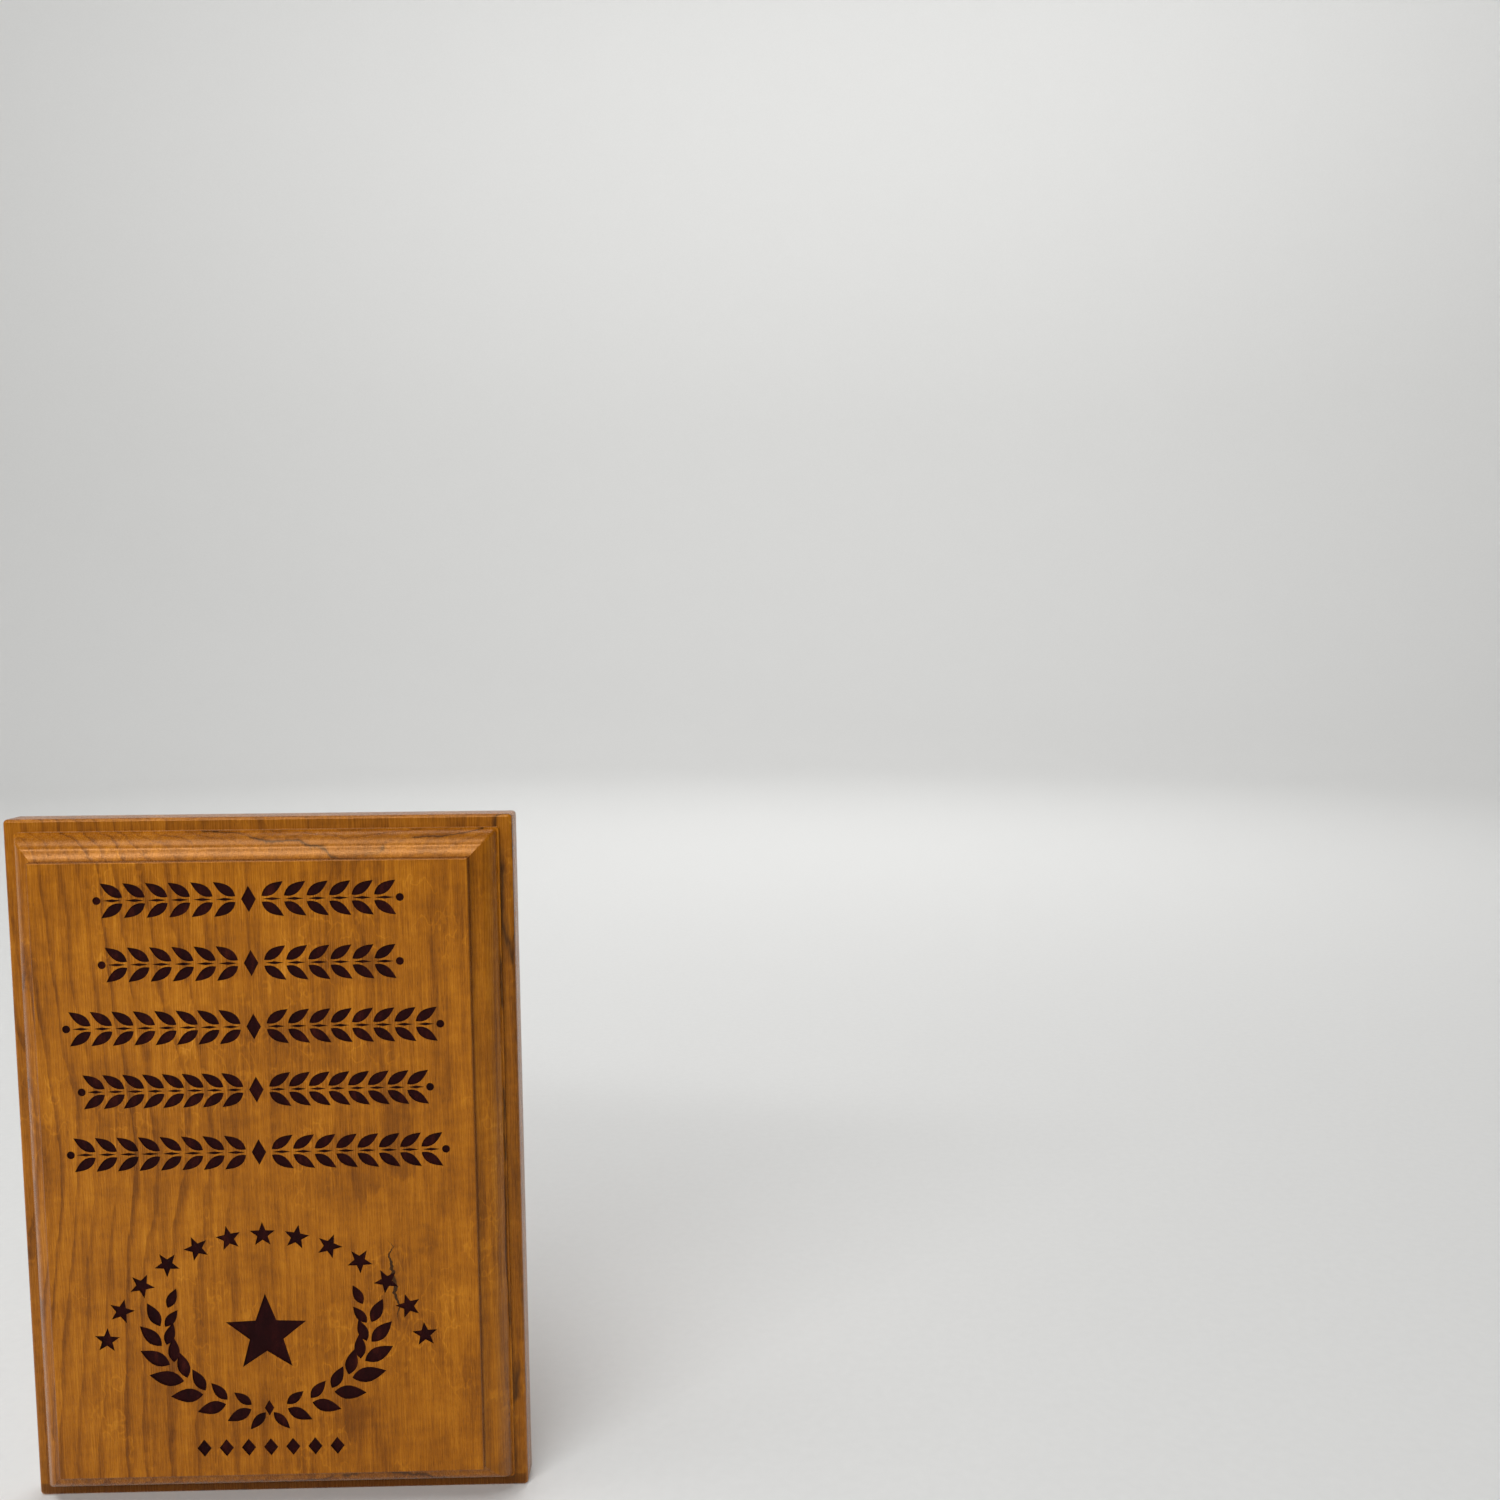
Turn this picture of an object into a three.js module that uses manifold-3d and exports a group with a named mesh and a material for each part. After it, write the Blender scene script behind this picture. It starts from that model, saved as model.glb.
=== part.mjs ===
// Award plaque of solid cherry, 5 by 7 inches, glued up from two staves and hung by a keyhole plate.
//
// Frame, in millimetres: +X to the viewer's right, +Z up, the front face towards -Y.
// The origin is where the shank of the wall screw sits at the top of the keyhole slot, on the back plane.
import * as THREE from 'three';
import * as BufferGeometryUtils from 'three/addons/utils/BufferGeometryUtils.js';
import Module from 'manifold-3d';

const wasm = await Module();
wasm.setup();

// ---- driving dimensions -------------------------------------------------------------------------
const INCH = 25.4;
const PLAQUE_WIDTH = 5 * INCH;
const PLAQUE_HEIGHT = 7 * INCH;
const PLAQUE_THICKNESS = (5 / 8) * INCH;
const HOOK_BELOW_TOP = 28;

// The glued panel: a narrow stave on the viewer's left and a wide flat-sawn one on the right.
const LEFT_STAVE_WIDTH = 49;

// Routed edge, measured inwards from the outer edge (inset) and forwards from the ledge (rise).
const LEDGE_THICKNESS = 7.475;
const LEDGE_WIDTH = 3.15;
const FILLET_RISE = 1.1;
const FILLET_FLAT = 0.4;
const BEAD_END = { inset: 7.0, rise: 5.55 };
const BEAD_START_PULL = { inset: 0.55, rise: 1.8 };
const BEAD_END_PULL = { inset: -1.4, rise: -0.5 };
const COVE_END = { inset: 9.75, rise: 6.75 };
const COVE_PULL = { inset: 1.6, rise: 0.43 };
const FACE_INSET = 10.1;
const SIDE_CORNER_RADIUS = 1.0;
const LEDGE_ARRIS_RADIUS = 0.9;
const BACK_ARRIS = 0.5;
const ARRIS_STEPS = 3;
const BEAD_STEPS = 8;
const COVE_STEPS = 4;

// Keyhole plate, let into the back flush with the wood.
const PLATE_LENGTH = 36;
const PLATE_WIDTH = 16;
const PLATE_THICKNESS = 1.5;
const PLATE_CENTRE_Z = -4.5;
const SLOT_RADIUS = 2.3;
const ENTRY_RADIUS = 4.75;
const ENTRY_Z = -9;
const PLATE_CLEARANCE = 0.3;
const HEAD_POCKET_RADIUS = 5.5;
const HEAD_POCKET_TOP_Z = 0.5;
const HEAD_POCKET_DEPTH = 8;

// Countersunk wood screws that hold the plate.
const SCREW_SPACING = 27;
const SCREW_HEAD_RADIUS = 2.9;
const SCREW_HEAD_HEIGHT = 1.6;
const SCREW_SHANK_RADIUS = 1.35;
const SCREW_POINT_LENGTH = 2.2;
const SCREW_LENGTH = 9.5;
const SCREW_CLEARANCE = 0.25;
const CROSS_SLOT_WIDTH = 0.8;
const CROSS_SLOT_SPAN = 3.4;
const CROSS_SLOT_DEPTH = 0.9;

// Soft domed bumpers near the corners of the back.
const BUMPER_RADIUS = 4.75;
const BUMPER_HEIGHT = 2.0;
const BUMPER_FLAT_RADIUS = 2.0;
const BUMPER_EDGE_HEIGHT = 0.5;
const BUMPER_INSET = 9;
const BUMPER_DOME_STEPS = 6;

const ROUND_STEPS = 32;
const MERGE_DISTANCE = 1e-5;
// How far a cutting shape runs past the surface that it cuts.
const MARGIN = 5;

// ---- places worked out from them ------------------------------------------------------------------
const TOP_Z = HOOK_BELOW_TOP;
const BOTTOM_Z = TOP_Z - PLAQUE_HEIGHT;
const JOINT_X = -PLAQUE_WIDTH / 2 + LEFT_STAVE_WIDTH;
const SCREW_HEIGHTS = {
  upper: PLATE_CENTRE_Z + SCREW_SPACING / 2,
  lower: PLATE_CENTRE_Z - SCREW_SPACING / 2,
};
const BUMPER_HEIGHTS = { top: TOP_Z - BUMPER_INSET, bottom: BOTTOM_Z + BUMPER_INSET };
const BUMPER_X = PLAQUE_WIDTH / 2 - BUMPER_INSET;
const PLATE_HALF_STRAIGHT = (PLATE_LENGTH - PLATE_WIDTH) / 2;

// ---- finishes -------------------------------------------------------------------------------------
const CHERRY_LEFT = { color: 0xa2621f, roughness: 0.38, metalness: 0 };
const CHERRY_RIGHT = { color: 0x985c1c, roughness: 0.38, metalness: 0 };
const ZINC_STEEL = { color: 0xb9bab4, roughness: 0.35, metalness: 0.9 };
const YELLOW_ZINC = { color: 0xc9b27a, roughness: 0.32, metalness: 0.9 };
const CLEAR_RUBBER = { color: 0xd8d8d2, roughness: 0.25, metalness: 0 };

// ---- joining and cutting --------------------------------------------------------------------------
function toSolid(geometry) {
  const bare = geometry.clone();
  bare.deleteAttribute('normal');
  bare.deleteAttribute('uv');
  const merged = BufferGeometryUtils.mergeVertices(bare, MERGE_DISTANCE);
  return new wasm.Manifold(new wasm.Mesh({
    numProp: 3,
    vertProperties: new Float32Array(merged.attributes.position.array),
    triVerts: new Uint32Array(merged.index.array),
  }));
}

function toGeometry(solid) {
  const mesh = solid.getMesh();
  const geometry = new THREE.BufferGeometry();
  geometry.setAttribute('position', new THREE.BufferAttribute(new Float32Array(mesh.vertProperties), 3));
  geometry.setIndex(new THREE.BufferAttribute(new Uint32Array(mesh.triVerts), 1));
  geometry.computeVertexNormals();
  return geometry;
}

function makeMesh(name, solid, finish) {
  const mesh = new THREE.Mesh(toGeometry(solid), new THREE.MeshStandardMaterial(finish));
  mesh.name = name;
  return mesh;
}

// ---- shapes that several pieces share -------------------------------------------------------------
// A prism along Y between two depths, from a shape drawn in X and Z as seen from the front.
function prismAlongY(shape, yFront, yBack, steps = ROUND_STEPS / 2) {
  const geometry = new THREE.ExtrudeGeometry(shape, {
    depth: yBack - yFront,
    bevelEnabled: false,
    curveSegments: steps,
  });
  geometry.rotateX(Math.PI / 2);
  geometry.translate(0, yBack, 0);
  return toSolid(geometry);
}

function block(xLow, xHigh, yLow, yHigh, zLow, zHigh) {
  const geometry = new THREE.BoxGeometry(xHigh - xLow, yHigh - yLow, zHigh - zLow);
  geometry.translate((xLow + xHigh) / 2, (yLow + yHigh) / 2, (zLow + zHigh) / 2);
  return toSolid(geometry);
}

// A slot with round ends, standing upright between two centres.
function uprightSlot(radius, zLow, zHigh) {
  const shape = new THREE.Shape();
  shape.moveTo(radius, zLow);
  shape.lineTo(radius, zHigh);
  shape.absarc(0, zHigh, radius, 0, Math.PI, false);
  shape.lineTo(-radius, zLow);
  shape.absarc(0, zLow, radius, Math.PI, 2 * Math.PI, false);
  return shape;
}

function roundedRectangle(xHalf, zLow, zHigh, radius) {
  const shape = new THREE.Shape();
  shape.moveTo(-xHalf + radius, zLow);
  shape.lineTo(xHalf - radius, zLow);
  shape.absarc(xHalf - radius, zLow + radius, radius, -Math.PI / 2, 0, false);
  shape.lineTo(xHalf, zHigh - radius);
  shape.absarc(xHalf - radius, zHigh - radius, radius, 0, Math.PI / 2, false);
  shape.lineTo(-xHalf + radius, zHigh);
  shape.absarc(-xHalf + radius, zHigh - radius, radius, Math.PI / 2, Math.PI, false);
  shape.lineTo(-xHalf, zLow + radius);
  shape.absarc(-xHalf + radius, zLow + radius, radius, Math.PI, 1.5 * Math.PI, false);
  return shape;
}

// A solid of revolution about a line along Y; the profile gives radius and distance towards the front.
function turnedAlongY(profile, x, z) {
  const points = profile.map(([radius, forward]) => new THREE.Vector2(radius, forward));
  const geometry = new THREE.LatheGeometry(points, ROUND_STEPS);
  geometry.rotateX(Math.PI);
  geometry.translate(x, 0, z);
  return toSolid(geometry);
}

// ---- the routed panel -----------------------------------------------------------------------------
// The edge section from the back plane to the face, as [inset, distance in front of the back plane].
function edgeSection() {
  const section = [[BACK_ARRIS, 0], [0, BACK_ARRIS]];
  for (let i = 0; i <= ARRIS_STEPS; i++) {
    const turn = (i / ARRIS_STEPS) * Math.PI / 2;
    section.push([
      LEDGE_ARRIS_RADIUS * (1 - Math.cos(turn)),
      LEDGE_THICKNESS - LEDGE_ARRIS_RADIUS * (1 - Math.sin(turn)),
    ]);
  }
  section.push([LEDGE_WIDTH, LEDGE_THICKNESS]);
  section.push([LEDGE_WIDTH, LEDGE_THICKNESS + FILLET_RISE]);
  const beadStart = new THREE.Vector2(LEDGE_WIDTH + FILLET_FLAT, FILLET_RISE);
  const beadEnd = new THREE.Vector2(BEAD_END.inset, BEAD_END.rise);
  const coveEnd = new THREE.Vector2(COVE_END.inset, COVE_END.rise);
  const pulled = (point, pull) => new THREE.Vector2(point.x + pull.inset, point.y + pull.rise);
  const bead = new THREE.CubicBezierCurve(
    beadStart,
    pulled(beadStart, BEAD_START_PULL),
    pulled(beadEnd, BEAD_END_PULL),
    beadEnd,
  );
  const cove = new THREE.QuadraticBezierCurve(beadEnd, pulled(beadEnd, COVE_PULL), coveEnd);
  for (const point of [...bead.getPoints(BEAD_STEPS), ...cove.getPoints(COVE_STEPS).slice(1)]) {
    section.push([point.x, LEDGE_THICKNESS + point.y]);
  }
  const faceArris = FACE_INSET - COVE_END.inset;
  section.push([COVE_END.inset, PLAQUE_THICKNESS - faceArris]);
  section.push([FACE_INSET, PLAQUE_THICKNESS]);
  return section;
}

// The section of the whole panel between two opposite outer edges, closed across the back.
function panelShape(low, high) {
  const section = edgeSection();
  const shape = new THREE.Shape();
  section.forEach(([inset, forward], i) => {
    if (i === 0) shape.moveTo(low + inset, -forward);
    else shape.lineTo(low + inset, -forward);
  });
  for (const [inset, forward] of section.slice().reverse()) {
    shape.lineTo(high - inset, -forward);
  }
  return shape;
}

// The same edge runs round all four sides with mitred corners: two crossing extrusions meet in it.
function routedPanel() {
  const options = (depth) => ({ depth, bevelEnabled: false, curveSegments: 1 });
  const upright = new THREE.ExtrudeGeometry(
    panelShape(-PLAQUE_WIDTH / 2, PLAQUE_WIDTH / 2),
    options(PLAQUE_HEIGHT + 2 * MARGIN),
  );
  upright.translate(0, 0, BOTTOM_Z - MARGIN);
  const level = new THREE.ExtrudeGeometry(
    panelShape(BOTTOM_Z, TOP_Z),
    options(PLAQUE_WIDTH + 2 * MARGIN),
  );
  level.rotateY(-Math.PI / 2);
  level.translate(PLAQUE_WIDTH / 2 + MARGIN, 0, 0);
  const outline = prismAlongY(
    roundedRectangle(PLAQUE_WIDTH / 2, BOTTOM_Z, TOP_Z, SIDE_CORNER_RADIUS),
    -PLAQUE_THICKNESS - MARGIN,
    MARGIN,
    ARRIS_STEPS,
  );
  return toSolid(upright).intersect(toSolid(level)).intersect(outline);
}

// Everything routed and drilled into the back for the keyhole plate, the wall screw and its screws.
function hangerPocket() {
  const plateSeat = prismAlongY(
    uprightSlot(
      PLATE_WIDTH / 2 + PLATE_CLEARANCE,
      PLATE_CENTRE_Z - PLATE_HALF_STRAIGHT,
      PLATE_CENTRE_Z + PLATE_HALF_STRAIGHT,
    ),
    -PLATE_THICKNESS - PLATE_CLEARANCE,
    MARGIN,
  );
  const headPocket = prismAlongY(
    uprightSlot(HEAD_POCKET_RADIUS, ENTRY_Z, HEAD_POCKET_TOP_Z),
    -HEAD_POCKET_DEPTH,
    MARGIN,
  );
  let pocket = plateSeat.add(headPocket);
  const pilotRadius = SCREW_SHANK_RADIUS + SCREW_CLEARANCE;
  const pilotDepth = SCREW_LENGTH + SCREW_CLEARANCE;
  for (const z of Object.values(SCREW_HEIGHTS)) {
    pocket = pocket.add(turnedAlongY([[0, -MARGIN], [pilotRadius, -MARGIN], [pilotRadius, pilotDepth],
      [0, pilotDepth]], 0, z));
  }
  return pocket;
}

// The part of the panel between two places across its width.
function staveBetween(panel, xLow, xHigh) {
  return panel.intersect(block(xLow, xHigh, -PLAQUE_THICKNESS - MARGIN, MARGIN,
    BOTTOM_Z - MARGIN, TOP_Z + MARGIN));
}

function leftStave(panel) {
  return makeMesh('stave_left', staveBetween(panel, -PLAQUE_WIDTH, JOINT_X), CHERRY_LEFT);
}

function rightStave(panel) {
  const stave = staveBetween(panel, JOINT_X, PLAQUE_WIDTH).subtract(hangerPocket());
  return makeMesh('stave_right', stave, CHERRY_RIGHT);
}

// ---- hanging hardware -----------------------------------------------------------------------------
function keyholePlate() {
  let plate = prismAlongY(
    uprightSlot(
      PLATE_WIDTH / 2,
      PLATE_CENTRE_Z - PLATE_HALF_STRAIGHT,
      PLATE_CENTRE_Z + PLATE_HALF_STRAIGHT,
    ),
    -PLATE_THICKNESS,
    0,
  );
  const slot = prismAlongY(uprightSlot(SLOT_RADIUS, ENTRY_Z, 0), -MARGIN, MARGIN);
  const entry = turnedAlongY([[0, -MARGIN], [ENTRY_RADIUS, -MARGIN], [ENTRY_RADIUS, MARGIN], [0, MARGIN]],
    0, ENTRY_Z);
  plate = plate.subtract(slot.add(entry));
  const headHole = SCREW_HEAD_RADIUS + SCREW_CLEARANCE;
  const shankHole = SCREW_SHANK_RADIUS + SCREW_CLEARANCE;
  for (const z of Object.values(SCREW_HEIGHTS)) {
    plate = plate.subtract(turnedAlongY([[0, -MARGIN], [headHole, -MARGIN], [headHole, 0],
      [shankHole, PLATE_THICKNESS], [shankHole, MARGIN], [0, MARGIN]], 0, z));
  }
  return makeMesh('keyhole_plate', plate, ZINC_STEEL);
}

function plateScrew(name, z) {
  const shaft = turnedAlongY([
    [0, 0],
    [SCREW_HEAD_RADIUS, 0],
    [SCREW_SHANK_RADIUS, SCREW_HEAD_HEIGHT],
    [SCREW_SHANK_RADIUS, SCREW_LENGTH - SCREW_POINT_LENGTH],
    [0, SCREW_LENGTH],
  ], 0, z);
  const half = CROSS_SLOT_SPAN / 2;
  const narrow = CROSS_SLOT_WIDTH / 2;
  const level = block(-half, half, -CROSS_SLOT_DEPTH, MARGIN, z - narrow, z + narrow);
  const upright = block(-narrow, narrow, -CROSS_SLOT_DEPTH, MARGIN, z - half, z + half);
  return makeMesh(name, shaft.subtract(level.add(upright)), YELLOW_ZINC);
}

function bumper(name, x, z) {
  const profile = [[0, 0], [BUMPER_RADIUS, 0], [BUMPER_RADIUS, -BUMPER_EDGE_HEIGHT]];
  for (let i = 1; i <= BUMPER_DOME_STEPS; i++) {
    const turn = (i / BUMPER_DOME_STEPS) * Math.PI / 2;
    profile.push([
      BUMPER_FLAT_RADIUS + (BUMPER_RADIUS - BUMPER_FLAT_RADIUS) * Math.cos(turn),
      -BUMPER_EDGE_HEIGHT - (BUMPER_HEIGHT - BUMPER_EDGE_HEIGHT) * Math.sin(turn),
    ]);
  }
  profile.push([0, -BUMPER_HEIGHT]);
  return makeMesh(name, turnedAlongY(profile.reverse(), x, z), CLEAR_RUBBER);
}

// ---- the assembly ---------------------------------------------------------------------------------
const plaque = new THREE.Group();
const panel = routedPanel();
plaque.add(leftStave(panel));
plaque.add(rightStave(panel));
plaque.add(keyholePlate());
for (const [place, z] of Object.entries(SCREW_HEIGHTS)) {
  plaque.add(plateScrew(`plate_screw_${place}`, z));
}
for (const [row, z] of Object.entries(BUMPER_HEIGHTS)) {
  plaque.add(bumper(`bumper_${row}_left`, -BUMPER_X, z));
  plaque.add(bumper(`bumper_${row}_right`, BUMPER_X, z));
}

export default plaque;
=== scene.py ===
# %% [markdown]
# # A cherry award plaque
# The plaque is a small glued-up board of solid cherry. A stepped moulding is routed round its front, its
# face carries a burnt-in engraving of leaves, stars and a wreath, and a steel keyhole plate is let into
# the back. The design model gives every size. This lesson builds what the eye sees on top of it.

import math

import bmesh
import bpy
from mathutils import Matrix, Vector


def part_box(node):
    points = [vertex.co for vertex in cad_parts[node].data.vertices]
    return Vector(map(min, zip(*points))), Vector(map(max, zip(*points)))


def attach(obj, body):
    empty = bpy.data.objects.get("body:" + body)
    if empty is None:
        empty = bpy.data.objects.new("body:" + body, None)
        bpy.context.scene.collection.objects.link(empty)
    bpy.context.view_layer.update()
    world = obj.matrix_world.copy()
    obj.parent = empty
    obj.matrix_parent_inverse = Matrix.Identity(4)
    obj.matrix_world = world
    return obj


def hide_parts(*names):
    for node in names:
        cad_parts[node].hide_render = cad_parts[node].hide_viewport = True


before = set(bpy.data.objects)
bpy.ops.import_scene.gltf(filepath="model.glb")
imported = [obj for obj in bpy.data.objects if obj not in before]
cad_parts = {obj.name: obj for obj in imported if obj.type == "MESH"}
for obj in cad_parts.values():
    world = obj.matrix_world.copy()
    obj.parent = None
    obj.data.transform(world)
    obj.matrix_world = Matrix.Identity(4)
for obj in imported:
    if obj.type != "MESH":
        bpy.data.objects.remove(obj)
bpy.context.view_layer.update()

# %% [markdown]
# ## The plaque's own sizes
# Everything hangs from one frame: X runs across, Z up, and the front looks towards -Y. The outer sizes and
# the glue line are read off the design model, so the two can never drift apart. The steps of the moulding
# are set here. All are in millimetres, as a woodworker reads them, and one factor turns them into metres.

# %% Sizes in millimetres
MM = 0.001


def extent(node, axis):
    """Where a piece of the design begins and ends along one axis, in millimetres."""
    return [round(corner["XYZ".index(axis)] / MM, 3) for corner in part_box(node)]


def middle_of(node, axis):
    """The middle of a piece of the design along one axis, in millimetres."""
    return round(sum(extent(node, axis)) / 2, 3)


LEFT, JOINT_X = extent("stave_left", "X")
RIGHT = extent("stave_right", "X")[1]
BOTTOM, TOP = extent("stave_right", "Z")
THICKNESS = -extent("stave_right", "Y")[0]
LEDGE_FORWARD = 7.475
LEDGE_WIDTH = 3.15
FACE_INSET = 10.1
MIDDLE_Z = (BOTTOM + TOP) / 2

for name in ("stave_left", "stave_right", "keyhole_plate"):
    print(name, "lies between", [extent(name, axis) for axis in "XYZ"], "mm")

# %% [markdown]
# ## The camera
# The camera stands a little to the right of the plaque and looks slightly down, with a fairly wide lens.
# It could be aimed with a constraint, but a constraint would fight the other views, so its direction is
# worked out once. A small roll remains, as when a camera is held in the hand.

# %% Camera
camera = bpy.data.objects.new("camera", bpy.data.cameras.new("camera"))
bpy.context.scene.collection.objects.link(camera)
bpy.context.scene.camera = camera
camera.data.lens = 31.2
camera.data.sensor_width = 36
camera.data.clip_start = 0.01
camera.location = Vector((117.2, -333.7, 70.1)) * MM
look_right, look_down, roll = math.radians(1.15), math.radians(4.67), math.radians(-0.55)
camera.rotation_euler = (
    Matrix.Rotation(-look_right, 3, "Z")
    @ Matrix.Rotation(math.pi / 2 - look_down, 3, "X")
    @ Matrix.Rotation(roll, 3, "Z")
).to_euler()
print("camera at", [round(v, 3) for v in camera.location])

# %% [markdown]
# ## Mixing a finish from nodes
# A material is a small network: places and noises come in at one end, and a colour and a roughness leave
# at the other. The nodes could be laid out by hand in the editor. Here a tiny helper adds one node at a
# time and hands back its output, so that a finish reads like a recipe.

# %% Finish helper
class Finish:
    """A material being mixed. Each method adds one node and returns its output socket."""

    def __init__(self, name):
        self.material = bpy.data.materials.new(name)
        self.material.use_nodes = True
        self.tree = self.material.node_tree
        self.shader = self.tree.nodes["Principled BSDF"]

    def add(self, kind, *inputs, **settings):
        node = self.tree.nodes.new(kind)
        for name, value in settings.items():
            setattr(node, name, value)
        for place, value in enumerate(inputs):
            self.feed(node.inputs[place], value)
        return node

    def feed(self, socket, value):
        if isinstance(value, bpy.types.NodeSocket):
            self.tree.links.new(value, socket)
        elif value is not None:
            socket.default_value = value

    def math(self, operation, *values):
        return self.add("ShaderNodeMath", *values, operation=operation).outputs[0]

    def place_in_mm(self):
        """The point on the object in millimetres, as a vector."""
        place = self.add("ShaderNodeTexCoord").outputs["Object"]
        node = self.add("ShaderNodeVectorMath", place, operation="SCALE")
        node.inputs["Scale"].default_value = 1 / MM
        return node.outputs[0]

    def stretch(self, vector, grain, seed=0.0):
        """The same places measured in grains of the given width, depth and height."""
        node = self.add("ShaderNodeMapping", vector, vector_type="POINT")
        node.inputs["Scale"].default_value = [1 / size for size in grain]
        node.inputs["Location"].default_value = [seed, 1.7 * seed, 2.3 * seed]
        return node.outputs[0]

    def noise(self, vector, detail=2.0, roughness=0.5):
        node = self.add("ShaderNodeTexNoise", vector)
        node.inputs["Scale"].default_value = 1.0
        node.inputs["Detail"].default_value = detail
        node.inputs["Roughness"].default_value = roughness
        return node.outputs["Fac"]

    def swing(self, value, amount):
        """Turns a 0 to 1 pattern into one that swings either side of nothing."""
        return self.math("MULTIPLY", self.math("SUBTRACT", value, 0.5), amount)

    def total(self, *values):
        result = values[0]
        for value in values[1:]:
            result = self.math("ADD", result, value)
        return result

    def band(self, value, start, end):
        """0 before start and 1 after end, with a soft step between them."""
        node = self.add("ShaderNodeMapRange", value, interpolation_type="SMOOTHSTEP")
        node.inputs["From Min"].default_value = start
        node.inputs["From Max"].default_value = end
        return node.outputs[0]

    def bell(self, value, centre, spread):
        """1 at the centre, falling away on both sides."""
        away = self.math("DIVIDE", self.math("SUBTRACT", value, centre), spread)
        return self.math("EXPONENT", self.math("MULTIPLY", self.math("POWER", away, 2.0), -1.0))

    def ramp(self, value, stops):
        node = self.add("ShaderNodeValToRGB", value)
        elements = node.color_ramp.elements
        while len(elements) < len(stops):
            elements.new(0.5)
        for element, (position, colour) in zip(elements, stops):
            element.position = position
            element.color = (*colour, 1.0)
        return node.outputs[0]

    def tint(self, colour, other, amount):
        """Moves a colour some way towards another one."""
        node = self.tree.nodes.new("ShaderNodeMix")
        node.data_type = "RGBA"
        for socket, value in (("Factor_Float", amount), ("A_Color", colour), ("B_Color", other)):
            target = next(s for s in node.inputs if s.identifier == socket)
            self.feed(target, (*value, 1.0) if isinstance(value, tuple) and len(value) == 3 else value)
        return next(s for s in node.outputs if s.identifier == "Result_Color")

    def bump(self, height, depth_mm, strength):
        node = self.add("ShaderNodeBump")
        node.inputs["Strength"].default_value = strength
        node.inputs["Distance"].default_value = depth_mm * MM
        self.feed(node.inputs["Height"], height)
        return node.outputs[0]

    def finish(self, colour, roughness, normal=None, **plain):
        self.feed(self.shader.inputs["Base Color"], colour)
        self.feed(self.shader.inputs["Roughness"], roughness)
        if normal is not None:
            self.feed(self.shader.inputs["Normal"], normal)
        for name, value in plain.items():
            self.shader.inputs[name.replace("_", " ")].default_value = value
        return self.material


print("finish helper ready")

# %% [markdown]
# ## Floor and light
# The plaque stands in the middle of a white paper sweep: a floor that curves up into a wall, so no horizon
# shows. A flat sheet would do for one camera. This one is spun right round the plaque like a wide bowl, so
# that it closes the view from every side.

# %% Paper sweep
def sweep():
    floor_reach, bend, wall_top = 1.9, 0.7, 2.6
    bm = bmesh.new()
    low = BOTTOM * MM
    turns = [math.radians(90 * i / 12) for i in range(13)]
    rise = [(floor_reach + bend * math.sin(a), low + bend * (1 - math.cos(a))) for a in turns]
    rows = [(0.0, low), (0.6, low)] + rise + [(floor_reach + bend, wall_top)]
    line = [bm.verts.new((reach, 0.0, height)) for reach, height in rows]
    edges = [bm.edges.new(pair) for pair in zip(line, line[1:])]
    bmesh.ops.spin(bm, geom=line + edges, cent=(0, 0, 0), axis=(0, 0, 1), angle=2 * math.pi, steps=72,
                   use_merge=True)
    bmesh.ops.remove_doubles(bm, verts=bm.verts, dist=1e-5)
    bmesh.ops.recalc_face_normals(bm, faces=bm.faces)
    bmesh.ops.reverse_faces(bm, faces=bm.faces)
    mesh = bpy.data.meshes.new("paper_sweep")
    bm.to_mesh(mesh)
    bm.free()
    mesh.shade_smooth()
    piece = bpy.data.objects.new("paper_sweep", mesh)
    bpy.context.scene.collection.objects.link(piece)
    return piece


paper = Finish("white_paper")
paper_tooth = paper.noise(paper.stretch(paper.place_in_mm(), (3.0, 3.0, 3.0)), detail=4.0)
paper_colour = paper.ramp(paper_tooth, [(0.0, (0.72, 0.72, 0.71)), (1.0, (0.76, 0.76, 0.75))])
floor = sweep()
floor.data.materials.append(paper.finish(paper_colour, 0.85))
print("sweep faces:", len(floor.data.polygons))

# %% [markdown]
# The main softbox stands in front, above and a little to the left, at the height where the hollow along
# the top of the moulding mirrors it towards the camera. A wider box overhead skims the face, so the lower
# edges fall into shade. Two more behind the plaque brighten the paper and the back.

# %% Lights
def soft_light(name, place, width, height, power, aim=(0.0, 0.0, MIDDLE_Z * MM)):
    data = bpy.data.lights.new(name, "AREA")
    data.shape = "RECTANGLE"
    data.size = width
    data.size_y = height
    data.energy = power
    lamp = bpy.data.objects.new(name, data)
    bpy.context.scene.collection.objects.link(lamp)
    lamp.location = place
    lamp.rotation_euler = (Vector(aim) - Vector(place)).to_track_quat("-Z", "Y").to_euler()
    return lamp


soft_light("main_softbox", (-0.31, -1.03, 0.66), 1.2, 0.12, 9.3)
soft_light("overhead_softbox", (-0.25, -0.34, 1.05), 1.0, 0.4, 5.5)
soft_light("paper_light", (0.2, 0.9, 1.7), 1.6, 0.8, 27.0, aim=(0.1, 2.4, 0.6))
soft_light("back_softbox", (0.4, 1.1, 1.0), 0.9, 0.6, 4.5)
world = bpy.data.worlds.new("studio_air")
bpy.context.scene.world = world
world.use_nodes = True
air = world.node_tree.nodes["Background"].inputs
air["Color"].default_value = (1.0, 1.0, 1.0, 1.0)
air["Strength"].default_value = 0.06
bpy.context.scene.view_settings.view_transform = "Standard"

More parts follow.
